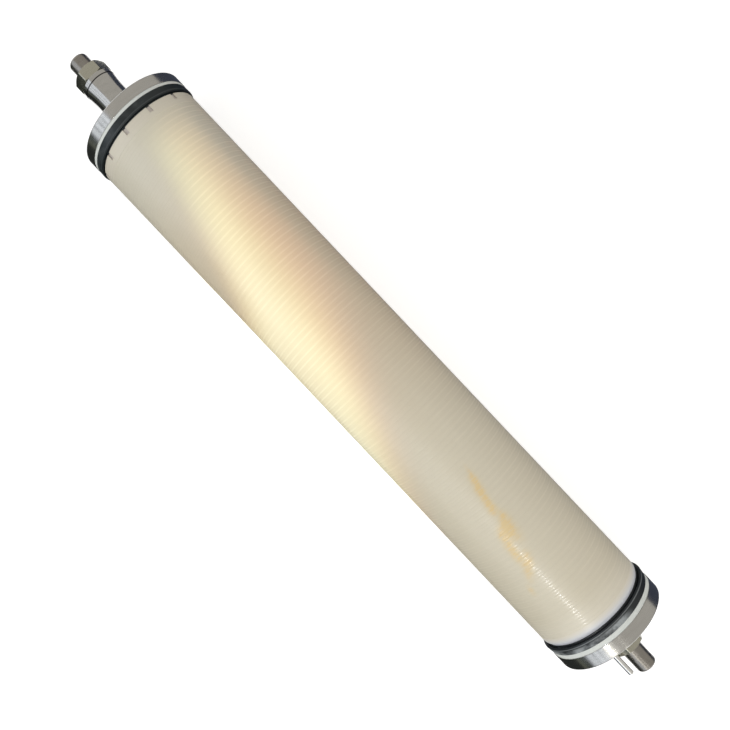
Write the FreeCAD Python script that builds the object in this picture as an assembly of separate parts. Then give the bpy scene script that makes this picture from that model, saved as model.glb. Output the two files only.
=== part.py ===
# Disc tube reverse osmosis membrane element, the core that slides into a pressure vessel.
# A tie rod clamps a stack of moulded guide discs, with a membrane cushion in every gap,
# between two turned stainless flanges. Each flange carries a backup ring, a lip seal
# and a gasket on its spigot. The element lies along X with its origin on the rod's axis,
# half way along the rod. The hub end is at -X, and +Z looks at the side with the pin.
import FreeCAD, Part
import math
import os

# Guide disc stack
guide_disc_count = 208
guide_disc_height = 5.0
disc_diameter = 197.0
discs_per_rim_band = 5
rim_draft_depth = 0.6
permeate_gap = 4.0
centring_rib_count = 8
centring_rib_width = 3.0
centring_rib_clearance = 0.3

# Membrane cushions and the shallow pockets that hold them
cushion_sides = 8
cushion_thickness = 2.2
cushion_corner_clearance = 0.75
pocket_rim_width = 2.5
pocket_depth = 1.2
hub_land_width = 8.0
cushion_hole_clearance = 0.3

# Inlet disc, next to the hub end
inlet_disc_thickness = 20.0
inlet_slot_count = 12
inlet_slot_width = 6.4
inlet_slot_length = 11.0
inlet_slot_depth = 2.5
inlet_slot_phase_deg = 12.0

# Outlet disc, next to the pin end
outlet_disc_thickness = 17.0
outlet_disc_bevel_length = 6.0
outlet_disc_bevel_drop = 3.0

# Rings on each flange's spigot, whose overhangs stand out past the discs
gasket_width = 3.0
gasket_rim_inset = 1.5
lip_seal_width = 14.0
lip_seal_heel_overhang = 2.25
hub_lip_overhang = 2.8
pin_lip_overhang = 4.0
lip_peak_setback = 2.8
lip_tip_drop = 1.6
lip_groove_depth = 7.0
lip_thickness = 5.0
hub_backup_ring_width = 5.0
pin_backup_ring_width = 8.0
backup_ring_overhang = 2.0
spigot_inset = 14.5
ring_bore_clearance = 0.1

# Flanges
flange_overhang = 2.75
hub_flange_thickness = 20.0
pin_flange_thickness = 24.5
flange_edge_chamfer = 1.5
neck_length = 81.0
neck_end_inset = 0.25
neck_flare_rise = 2.0
neck_flare_length = 27.0
boss_length = 17.5
rod_bore_clearance = 0.5

# Rod seal grooves in the flange bores
rod_ring_width = 5.0
rod_ring_section = 3.0
rod_ring_setback = 6.0

# Tie rod
rod_diameter = 36.0
rod_end_relief = 0.3
rod_end_round = 4.5
thread_past_nut = 2.0
hub_rod_projection = 29.0
pin_rod_projection = 48.0

# Nuts and washers
nut_wall = 9.5
nut_height = 22.0
nut_chamfer_deg = 30.0
hub_nut_turn_deg = 7.0
pin_nut_turn_deg = 16.7
washer_overhang = 3.0
washer_thickness = 8.0
washer_bore_clearance = 0.4

# Locating pin beside the rod
pin_diameter = 9.5
pin_short_of_rod = 18.5
pin_seat_depth = 14.0
pin_chamfer = 1.0
pin_boss_clearance = 0.35
pin_turn_deg = 54.0

# Radii and lengths that follow from the sizes above
rod_radius = rod_diameter / 2
rod_end_radius = rod_radius - rod_end_relief
disc_radius = disc_diameter / 2
disc_bore_radius = rod_radius + permeate_gap
hub_land_radius = disc_bore_radius + hub_land_width
pocket_radius = disc_radius - pocket_rim_width
cushion_flat_radius = (
    (pocket_radius - cushion_corner_clearance) * math.cos(math.pi / cushion_sides))
spigot_radius = disc_radius - spigot_inset
ring_bore_radius = spigot_radius + ring_bore_clearance
backup_ring_radius = disc_radius + backup_ring_overhang
flange_radius = disc_radius + flange_overhang
flange_bore_radius = rod_radius + rod_bore_clearance
nut_flat_radius = rod_radius + nut_wall
washer_radius = nut_flat_radius + washer_overhang
neck_end_radius = washer_radius - neck_end_inset
neck_radius = neck_end_radius - neck_flare_rise
boss_radius = washer_radius
stack_length = guide_disc_count * guide_disc_height
pin_radius = pin_diameter / 2
pin_circle_radius = boss_radius + pin_boss_clearance + pin_radius

# Stations along X, in the order in which the pieces are threaded on the rod
rod_length = (
    hub_rod_projection + nut_height + washer_thickness + neck_length
    + hub_flange_thickness + hub_backup_ring_width + lip_seal_width + gasket_width
    + inlet_disc_thickness + stack_length + outlet_disc_thickness
    + gasket_width + lip_seal_width + pin_backup_ring_width + pin_flange_thickness
    + boss_length + washer_thickness + nut_height + pin_rod_projection
)
hub_rod_tip = -rod_length / 2
hub_nut_outer = hub_rod_tip + hub_rod_projection
hub_washer_outer = hub_nut_outer + nut_height
neck_end = hub_washer_outer + washer_thickness
hub_flange_outer = neck_end + neck_length
hub_flange_inner = hub_flange_outer + hub_flange_thickness
hub_seal_heel = hub_flange_inner + hub_backup_ring_width
hub_gasket_start = hub_seal_heel + lip_seal_width
inlet_disc_start = hub_gasket_start + gasket_width
stack_start = inlet_disc_start + inlet_disc_thickness
stack_end = stack_start + stack_length
outlet_disc_end = stack_end + outlet_disc_thickness
pin_gasket_end = outlet_disc_end + gasket_width
pin_seal_heel = pin_gasket_end + lip_seal_width
pin_flange_inner = pin_seal_heel + pin_backup_ring_width
pin_flange_outer = pin_flange_inner + pin_flange_thickness
boss_end = pin_flange_outer + boss_length
pin_washer_outer = boss_end + washer_thickness
pin_nut_outer = pin_washer_outer + nut_height
pin_rod_tip = pin_nut_outer + pin_rod_projection

X_AXIS = FreeCAD.Vector(1, 0, 0)
ORIGIN = FreeCAD.Vector(0, 0, 0)


def section_point(x, radius):
    """Point of a turned section: x along the rod, radius above it."""
    return FreeCAD.Vector(x, 0, radius)


def turned(spans):
    """Solid of revolution about the rod from spans of two points (a line) or three (an arc)."""
    edges = []
    for span in spans:
        points = [section_point(*pair) for pair in span]
        if len(points) == 3:
            edges.append(Part.Arc(*points).toShape())
        else:
            edges.append(Part.LineSegment(*points).toShape())
    face = Part.Face(Part.Wire(edges))
    return face.revolve(ORIGIN, X_AXIS, 360)


def closed_lines(pairs):
    """Line spans that join the pairs in order and close the loop."""
    return [(pairs[i], pairs[(i + 1) % len(pairs)]) for i in range(len(pairs))]


def ring(x_start, x_end, inner_radius, outer_radius):
    """Plain ring with a rectangular section."""
    return turned(closed_lines([
        (x_start, inner_radius), (x_start, outer_radius),
        (x_end, outer_radius), (x_end, inner_radius),
    ]))


def rod_cylinder(x_start, x_end, radius):
    """Cylinder on the rod's axis."""
    return Part.makeCylinder(radius, x_end - x_start, section_point(x_start, 0), X_AXIS)


def turn_about_rod(shape, angle_deg):
    """Turn a shape about the rod, positive from +Z towards -Y."""
    shape.rotate(ORIGIN, X_AXIS, angle_deg)
    return shape


def mirrored_section(pairs, x_mirror):
    """Section of the hub end reflected for the pin end, so that x_mirror is its new zero."""
    return [(x_mirror - x, radius) for x, radius in pairs]


def placed_section(pairs, x_start):
    """Section shifted so that its zero lies at x_start."""
    return [(x_start + x, radius) for x, radius in pairs]


def tie_rod():
    """Rod with a threaded stretch under each nut and a smooth rounded end past it."""
    sag = rod_end_round * (1 - math.cos(math.pi / 4))
    hub_thread = hub_nut_outer - thread_past_nut
    pin_thread = pin_nut_outer + thread_past_nut
    face_radius = rod_end_radius - rod_end_round
    return turned([
        ((hub_rod_tip, 0), (hub_rod_tip, face_radius)),
        ((hub_rod_tip, face_radius), (hub_rod_tip + sag, rod_end_radius - sag),
         (hub_rod_tip + rod_end_round, rod_end_radius)),
        ((hub_rod_tip + rod_end_round, rod_end_radius), (hub_thread, rod_end_radius)),
        ((hub_thread, rod_end_radius), (hub_thread, rod_radius)),
        ((hub_thread, rod_radius), (pin_thread, rod_radius)),
        ((pin_thread, rod_radius), (pin_thread, rod_end_radius)),
        ((pin_thread, rod_end_radius), (pin_rod_tip - rod_end_round, rod_end_radius)),
        ((pin_rod_tip - rod_end_round, rod_end_radius), (pin_rod_tip - sag, rod_end_radius - sag),
         (pin_rod_tip, face_radius)),
        ((pin_rod_tip, face_radius), (pin_rod_tip, 0)),
        ((pin_rod_tip, 0), (hub_rod_tip, 0)),
    ])


def regular_prism(x_start, x_end, flat_radius, sides):
    """Prism along the rod, with one flat square to +Z."""
    corner_radius = flat_radius / math.cos(math.pi / sides)
    corners = []
    for i in range(sides + 1):
        angle = 2 * math.pi * (i + 0.5) / sides
        corners.append(FreeCAD.Vector(
            x_start, -corner_radius * math.sin(angle), corner_radius * math.cos(angle)))
    return Part.Face(Part.makePolygon(corners)).extrude(X_AXIS * (x_end - x_start))


def hex_nut(x_start, turn_deg):
    """Hexagon nut whose corners are chamfered on both faces."""
    x_end = x_start + nut_height
    corner_radius = nut_flat_radius / math.cos(math.pi / 6)
    rise = (corner_radius - nut_flat_radius) * math.tan(math.radians(nut_chamfer_deg))
    envelope = turned(closed_lines([
        (x_start, rod_radius), (x_start, nut_flat_radius), (x_start + rise, corner_radius),
        (x_end - rise, corner_radius), (x_end, nut_flat_radius), (x_end, rod_radius),
    ]))
    nut = regular_prism(x_start, x_end, nut_flat_radius, 6).common(envelope)
    return turn_about_rod(nut, turn_deg)


def washer(x_start):
    """Thick plain washer under a nut."""
    return ring(x_start, x_start + washer_thickness,
                rod_radius + washer_bore_clearance, washer_radius)


def bore_groove_spans(x_groove):
    """Corners of the rod seal's groove in a flange bore, from the hub side to the pin side."""
    groove_radius = rod_radius + rod_ring_section
    return [
        (x_groove, flange_bore_radius), (x_groove, groove_radius),
        (x_groove + rod_ring_width, groove_radius),
        (x_groove + rod_ring_width, flange_bore_radius),
    ]


def hub_flange():
    """Flange, spigot and long flared neck, turned in one piece."""
    flare_end = neck_end + neck_flare_length
    flare_radius = (neck_flare_length ** 2 + neck_flare_rise ** 2) / (2 * neck_flare_rise)
    half_angle = math.asin(neck_flare_length / flare_radius) / 2
    flare_middle = (
        flare_end - flare_radius * math.sin(half_angle),
        neck_radius + flare_radius * (1 - math.cos(half_angle)),
    )
    groove = bore_groove_spans(inlet_disc_start - rod_ring_setback - rod_ring_width)
    corners = [
        (flare_end, neck_radius), (hub_flange_outer, neck_radius),
        (hub_flange_outer, flange_radius - flange_edge_chamfer),
        (hub_flange_outer + flange_edge_chamfer, flange_radius),
        (hub_flange_inner, flange_radius), (hub_flange_inner, spigot_radius),
        (inlet_disc_start, spigot_radius), (inlet_disc_start, flange_bore_radius),
        *reversed(groove),
        (neck_end, flange_bore_radius), (neck_end, neck_end_radius),
    ]
    spans = [(corners[i], corners[i + 1]) for i in range(len(corners) - 1)]
    spans.append((corners[-1], flare_middle, corners[0]))
    return turned(spans)


def pin_flange():
    """Flange, spigot and short boss, turned in one piece, with the locating pin's seat."""
    groove = bore_groove_spans(outlet_disc_end + rod_ring_setback)
    flange = turned(closed_lines([
        (outlet_disc_end, flange_bore_radius), (outlet_disc_end, spigot_radius),
        (pin_flange_inner, spigot_radius), (pin_flange_inner, flange_radius),
        (pin_flange_outer - flange_edge_chamfer, flange_radius),
        (pin_flange_outer, flange_radius - flange_edge_chamfer),
        (pin_flange_outer, boss_radius), (boss_end, boss_radius),
        (boss_end, flange_bore_radius), *reversed(groove),
    ]))
    return flange.cut(pin_blank(pin_flange_outer))


def rod_ring(x_start):
    """Rod seal squeezed to the rectangle of its groove."""
    return ring(x_start, x_start + rod_ring_width, rod_radius, rod_radius + rod_ring_section)


def lip_seal_section(lip_overhang):
    """Cup section from the heel at zero to the lips, with the outer lip flared."""
    heel_radius = disc_radius + lip_seal_heel_overhang
    lip_radius = disc_radius + lip_overhang
    tip_radius = lip_radius - lip_tip_drop
    inner_lip = ring_bore_radius + lip_thickness
    groove_root = (inner_lip + tip_radius - lip_thickness) / 2
    return [
        (0, ring_bore_radius), (0, heel_radius),
        (lip_seal_width - lip_peak_setback, lip_radius), (lip_seal_width, tip_radius),
        (lip_seal_width, tip_radius - lip_thickness / 2),
        (lip_seal_width - lip_groove_depth, groove_root),
        (lip_seal_width, inner_lip), (lip_seal_width, ring_bore_radius),
    ]


def disc_faces_cut(x_face, towards_x):
    """Shallow pocket round the hub land for half of a membrane cushion."""
    x_start, x_end = sorted((x_face, x_face + towards_x * pocket_depth))
    return ring(x_start, x_end, hub_land_radius, pocket_radius)


def permeate_channel(x_start, x_end):
    """Bore round the rod, with ribs left standing that centre the discs on it."""
    channel = rod_cylinder(x_start, x_end, disc_bore_radius)
    rib_tip_radius = rod_radius + centring_rib_clearance
    for i in range(centring_rib_count):
        rib = Part.makeBox(
            x_end - x_start, centring_rib_width, 2 * disc_bore_radius,
            FreeCAD.Vector(x_start, -centring_rib_width / 2, 0))
        channel = channel.cut(turn_about_rod(rib, 360 * i / centring_rib_count))
    return channel.fuse(rod_cylinder(x_start, x_end, rib_tip_radius)).removeSplitter()


def guide_disc_stack():
    """Guide discs clamped in a stack, whose drafted rims meet in a ridge or a valley."""
    band_length = guide_disc_height * discs_per_rim_band
    band_count = math.ceil(stack_length / band_length)
    pairs = [(stack_start, 0)]
    for i in range(band_count + 1):
        x = min(stack_start + i * band_length, stack_end)
        pairs.append((x, disc_radius - rim_draft_depth * (i % 2)))
    pairs.append((stack_end, 0))
    stack = turned(closed_lines(pairs))
    stack = stack.cut(disc_faces_cut(stack_start, 1))
    stack = stack.cut(disc_faces_cut(stack_end, -1))
    return stack.cut(permeate_channel(stack_start, stack_end))


def inlet_disc():
    """Thick slotted disc that lets the feed in at the rim."""
    disc = ring(inlet_disc_start, stack_start, disc_bore_radius, disc_radius)
    disc = disc.cut(disc_faces_cut(stack_start, -1))
    for i in range(inlet_slot_count):
        slot = Part.makeBox(
            inlet_slot_length, inlet_slot_width, 2 * inlet_slot_depth,
            FreeCAD.Vector(inlet_disc_start, -inlet_slot_width / 2, disc_radius - inlet_slot_depth))
        angle = inlet_slot_phase_deg + 360 * i / inlet_slot_count
        disc = disc.cut(turn_about_rod(slot, angle))
    return disc


def outlet_disc():
    """Plain thick end disc with a bevelled rim."""
    disc = turned(closed_lines([
        (stack_end, disc_bore_radius), (stack_end, disc_radius),
        (outlet_disc_end - outlet_disc_bevel_length, disc_radius),
        (outlet_disc_end, disc_radius - outlet_disc_bevel_drop),
        (outlet_disc_end, disc_bore_radius),
    ]))
    return disc.cut(disc_faces_cut(stack_end, 1))


def membrane_cushion(x_middle):
    """Octagonal membrane cushion round the hub land."""
    x_start = x_middle - cushion_thickness / 2
    x_end = x_start + cushion_thickness
    cushion = regular_prism(x_start, x_end, cushion_flat_radius, cushion_sides)
    return cushion.cut(rod_cylinder(x_start, x_end, hub_land_radius + cushion_hole_clearance))


def gasket(x_start):
    """Flat rubber ring between a lip seal and its disc."""
    return ring(x_start, x_start + gasket_width, ring_bore_radius, disc_radius - gasket_rim_inset)


def pin_blank(x_end):
    """Locating pin from its seat in the flange to x_end, without its end chamfer."""
    x_start = pin_flange_outer - pin_seat_depth
    angle = math.radians(pin_turn_deg)
    base = FreeCAD.Vector(
        x_start, -pin_circle_radius * math.sin(angle), pin_circle_radius * math.cos(angle))
    return Part.makeCylinder(pin_radius, x_end - x_start, base, X_AXIS)


def locating_pin():
    """Polished pin with its free end chamfered."""
    x_tip = pin_rod_tip - pin_short_of_rod
    pin = pin_blank(x_tip)
    free_edge = max(pin.Edges, key=lambda edge: edge.CenterOfMass.x)
    return pin.makeChamfer(pin_chamfer, [free_edge])


def build_nodes():
    """All the pieces by name, from the hub end to the pin end."""
    hub_groove = inlet_disc_start - rod_ring_setback - rod_ring_width
    hub_seal = placed_section(lip_seal_section(hub_lip_overhang), hub_seal_heel)
    pin_seal = mirrored_section(lip_seal_section(pin_lip_overhang), pin_seal_heel)
    return {
        "tie_rod": tie_rod(),
        "hub_end_nut": hex_nut(hub_nut_outer, -hub_nut_turn_deg),
        "hub_end_washer": washer(hub_washer_outer),
        "hub_end_flange": hub_flange(),
        "hub_end_rod_ring": rod_ring(hub_groove),
        "hub_end_backup_ring": ring(
            hub_flange_inner, hub_seal_heel, ring_bore_radius, backup_ring_radius),
        "hub_end_lip_seal": turned(closed_lines(hub_seal)),
        "hub_end_gasket": gasket(hub_gasket_start),
        "inlet_disc": inlet_disc(),
        "first_membrane_cushion": membrane_cushion(stack_start),
        "guide_disc_stack": guide_disc_stack(),
        "last_membrane_cushion": membrane_cushion(stack_end),
        "outlet_disc": outlet_disc(),
        "pin_end_gasket": gasket(outlet_disc_end),
        "pin_end_lip_seal": turned(closed_lines(pin_seal)),
        "pin_end_backup_ring": ring(
            pin_seal_heel, pin_flange_inner, ring_bore_radius, backup_ring_radius),
        "pin_end_flange": pin_flange(),
        "pin_end_rod_ring": rod_ring(outlet_disc_end + rod_ring_setback),
        "pin_end_washer": washer(boss_end),
        "pin_end_nut": hex_nut(pin_washer_outer, -pin_nut_turn_deg),
        "locating_pin": locating_pin(),
    }


os.makedirs("parts", exist_ok=True)
for node_name, node_shape in build_nodes().items():
    node_shape.exportStep(os.path.join("parts", node_name + ".step"))
    print(node_name, len(node_shape.Solids), node_shape.isValid(), round(node_shape.Volume, 1))
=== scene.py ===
"""Dresses a disc tube membrane element: moulded disc stack, rubber lip seals, turned end flanges.

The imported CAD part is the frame. Every piece that shows is drawn again as a fine surface on
the same sizes, and stands for its CAD node. The pieces that are closed in keep their CAD
meshes and only get a finish. Sizes of the element are in millimetres, and those of the
studio and inside the shader graphs are in metres. The element lies along X, with the hub end
at -X, and +Z is up. Angles round it are counted from +Z towards -Y.
"""
import logging
import math
from dataclasses import dataclass
from enum import Enum

import bpy
import numpy as np
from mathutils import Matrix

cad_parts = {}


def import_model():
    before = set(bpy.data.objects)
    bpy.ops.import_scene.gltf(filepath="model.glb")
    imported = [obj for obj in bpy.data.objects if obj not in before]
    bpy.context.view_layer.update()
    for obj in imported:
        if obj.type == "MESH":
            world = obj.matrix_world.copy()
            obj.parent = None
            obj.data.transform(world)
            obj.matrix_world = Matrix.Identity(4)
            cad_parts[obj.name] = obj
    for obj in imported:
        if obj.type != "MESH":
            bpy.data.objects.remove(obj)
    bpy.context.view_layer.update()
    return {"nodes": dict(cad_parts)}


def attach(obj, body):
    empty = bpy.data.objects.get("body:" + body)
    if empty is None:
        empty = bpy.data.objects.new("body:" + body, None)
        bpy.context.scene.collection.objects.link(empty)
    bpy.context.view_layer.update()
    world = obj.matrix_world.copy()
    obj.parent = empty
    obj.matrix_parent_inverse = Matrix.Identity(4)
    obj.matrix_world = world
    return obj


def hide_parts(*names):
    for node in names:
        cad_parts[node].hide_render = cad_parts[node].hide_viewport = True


LOG = logging.getLogger("membrane_element")
MM = 0.001
BODY = "root"

ROUNDING_SHARE = 0.27  # most of an edge that one rounding takes
GUARD_REACH = 1.8  # place of the points that keep flats flat, in setbacks from the corner
SINGLE_LINE = 4.0  # pitch of seam lines, longer than the element, that leaves only one
RING_POINTS = 240

Colour = tuple[float, float, float]
Place = tuple[float, float, float]
WHITE = (1.0, 1.0, 1.0)


class Slot(Enum):
    """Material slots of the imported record."""

    ROD = "rod_steel"
    NUT = "nut_steel"
    TURNED = "turned_steel"
    POLISHED = "polished_steel"
    DISC = "disc_plastic"
    OUTLET = "outlet_plastic"
    BACKUP = "backup_plastic"
    RUBBER = "seal_rubber"
    FLEECE = "membrane_fleece"


class End(Enum):
    """Ends of the element, with the sign of X that points out of the element there."""

    HUB = -1
    PIN = 1

    @property
    def label(self) -> str:
        """Start of the names of this end's pieces."""
        return self.name.lower() + "_end"


@dataclass(frozen=True)
class Layout:
    """Stations along X and the sizes that the pieces share, as in the CAD part."""

    hub_rod_tip: float = -702.0
    hub_nut_outer: float = -673.0
    hub_washer_outer: float = -651.0
    neck_end: float = -643.0
    hub_flange_outer: float = -562.0
    hub_flange_inner: float = -542.0
    hub_seal_heel: float = -537.0
    inlet_disc_start: float = -520.0
    stack_start: float = -500.0
    stack_end: float = 540.0
    outlet_disc_end: float = 557.0
    pin_seal_heel: float = 574.0
    pin_flange_inner: float = 582.0
    pin_flange_outer: float = 606.5
    boss_end: float = 624.0
    pin_washer_outer: float = 632.0
    pin_nut_outer: float = 654.0
    pin_rod_tip: float = 702.0
    rod_radius: float = 18.0
    disc_radius: float = 98.5
    disc_bore_radius: float = 22.0
    land_radius: float = 30.0
    pocket_radius: float = 96.0
    pocket_depth: float = 1.2
    spigot_radius: float = 84.0
    ring_bore_radius: float = 84.1
    flange_radius: float = 101.25
    flange_bore_radius: float = 18.5
    washer_radius: float = 30.5


# Surfaces


@dataclass
class Surface:
    """Points of a mesh in millimetres, with its four-sided and three-sided faces."""

    points: np.ndarray
    quads: np.ndarray
    triangles: np.ndarray

    def signed_volume(self) -> float:
        """Volume inside the faces, negative where they point inwards.

        Returns:
            The sum of a . (b x c) over the faces split into triangles, divided by six.
        """
        split = [self.quads[:, [0, 1, 2]], self.quads[:, [0, 2, 3]], self.triangles]
        corners = self.points[np.concatenate(split)]
        cross = np.cross(corners[:, 1], corners[:, 2])
        return float(np.einsum("ij,ij->", corners[:, 0], cross)) / 6

    def outward(self) -> "Surface":
        """Turns the faces round where they point inwards.

        Returns:
            The same surface with every face pointing out.
        """
        if self.signed_volume() >= 0:
            return self
        return Surface(self.points, self.quads[:, ::-1], self.triangles[:, ::-1])

    def moved(self, offset: tuple[float, float, float]) -> "Surface":
        """The same surface shifted by an offset in millimetres."""
        return Surface(self.points + np.array(offset), self.quads, self.triangles)


def softened(section: np.ndarray, setback: np.ndarray | float, steps: int = 4) -> np.ndarray:
    """Rounds each corner of a closed section and adds a point just outside each rounding.

    A corner P between edges with unit directions p (back) and n (onward) becomes the curve
    (1-t)^2 (P + s p) + 2 t (1-t) P + t^2 (P + s n), where s is the setback or, if that is
    less, a fixed share of the shorter edge. One more point on each edge, a little past s,
    keeps the shading of the flats flat.

    Args:
        section: Corners as rows of (x, radius).
        setback: Distance from the corners at which the rounding starts, for all or each.
        steps: Number of steps in each rounding.

    Returns:
        Rows of (x, radius) in the same order.
    """
    setback = np.broadcast_to(np.asarray(setback, float), len(section))[:, None]
    back = np.roll(section, 1, axis=0) - section
    onward = np.roll(section, -1, axis=0) - section
    back_length = np.linalg.norm(back, axis=1, keepdims=True)
    onward_length = np.linalg.norm(onward, axis=1, keepdims=True)
    reach = np.minimum(setback, ROUNDING_SHARE * np.minimum(back_length, onward_length))
    first = section + back / back_length * reach
    last = section + onward / onward_length * reach
    t = np.linspace(0, 1, steps + 1)[None, :, None]
    curve = ((1 - t) ** 2 * first[:, None] + 2 * t * (1 - t) * section[:, None]
             + t ** 2 * last[:, None])
    before = (section + back / back_length * reach * GUARD_REACH)[:, None]
    after = (section + onward / onward_length * reach * GUARD_REACH)[:, None]
    return np.concatenate([before, curve, after], axis=1).reshape(-1, 2)


def full_turn(count: int) -> np.ndarray:
    """Evenly spaced angles of one turn, in radians."""
    return np.arange(count) * (2 * math.pi / count)


def carried_round(section: np.ndarray, angles: np.ndarray) -> Surface:
    """Carries a closed section round the rod's axis.

    A point (x, r) of the section at angle a lies at (x, -r sin a, r cos a).

    Args:
        section: Rows of (x, radius), the same for all angles or one set of rows for each.
        angles: Angles in radians from +Z towards -Y, rising, over one turn.

    Returns:
        A closed surface of quads.
    """
    rings, steps = len(angles), section.shape[-2]
    rows = np.broadcast_to(section, (rings, steps, 2))
    a = angles[:, None]
    points = np.stack([rows[..., 0], -rows[..., 1] * np.sin(a), rows[..., 1] * np.cos(a)], axis=-1)
    i = np.arange(rings)[:, None]
    j = np.arange(steps)[None, :]
    near, far = i * steps, (i + 1) % rings * steps
    onward = (j + 1) % steps
    quads = np.stack([near + j, far + j, far + onward, near + onward], axis=-1).reshape(-1, 4)
    return Surface(points.reshape(-1, 3), quads, np.zeros((0, 3), int)).outward()


def turned_bar(profile: np.ndarray, count: int) -> Surface:
    """Turns a profile that starts and ends on its axis into a closed bar along X.

    Ring points follow (x, -r sin a, r cos a), and each end closes in a fan round one point.

    Args:
        profile: Rows of (x, radius), with radius zero in the first and last only.
        count: Number of points round the bar.

    Returns:
        A closed surface of quads with two fans of triangles.
    """
    rings = profile[1:-1]
    a = full_turn(count)[None, :]
    body = np.stack([
        np.broadcast_to(rings[:, :1], (len(rings), count)),
        -rings[:, 1:] * np.sin(a), rings[:, 1:] * np.cos(a)], axis=-1).reshape(-1, 3)
    poles = np.array([[profile[0, 0], 0, 0], [profile[-1, 0], 0, 0]])
    i = np.arange(len(rings) - 1)[:, None] * count
    j = np.arange(count)[None, :]
    k = (j + 1) % count
    quads = np.stack([i + j, i + k, i + count + k, i + count + j], axis=-1).reshape(-1, 4)
    first, last = len(body), len(body) + 1
    top = (len(rings) - 1) * count
    j, k = j[0], k[0]
    fans = np.concatenate([
        np.stack([np.full(count, first), k, j], axis=-1),
        np.stack([np.full(count, last), top + j, top + k], axis=-1)])
    return Surface(np.concatenate([body, poles]), quads, fans).outward()


def add_piece(name: str, surface: Surface, material: bpy.types.Material,
              node: str, sharp_deg: float = 40.0) -> bpy.types.Object:
    """Makes a mesh piece that stands for a CAD node and rides on the element.

    Args:
        name: Name of the piece.
        surface: Its surface in millimetres.
        material: Its finish.
        node: The CAD node that it replaces.
        sharp_deg: Edges that turn by more than this stay sharp.

    Returns:
        The new object, at the origin and unturned.
    """
    mesh = bpy.data.meshes.new(name)
    faces = surface.quads.tolist() + surface.triangles.tolist()
    mesh.from_pydata((surface.points * MM).tolist(), [], faces)
    mesh.validate()
    mesh.shade_smooth()
    mesh.set_sharp_from_angle(angle=math.radians(sharp_deg))
    mesh.materials.append(material)
    piece = bpy.data.objects.new(name, mesh)
    bpy.context.scene.collection.objects.link(piece)
    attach(piece, BODY)
    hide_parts(node)
    LOG.info("%s: %d faces", name, len(faces))
    return piece


# Shader nodes

Value = bpy.types.NodeSocket | float | tuple


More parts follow.
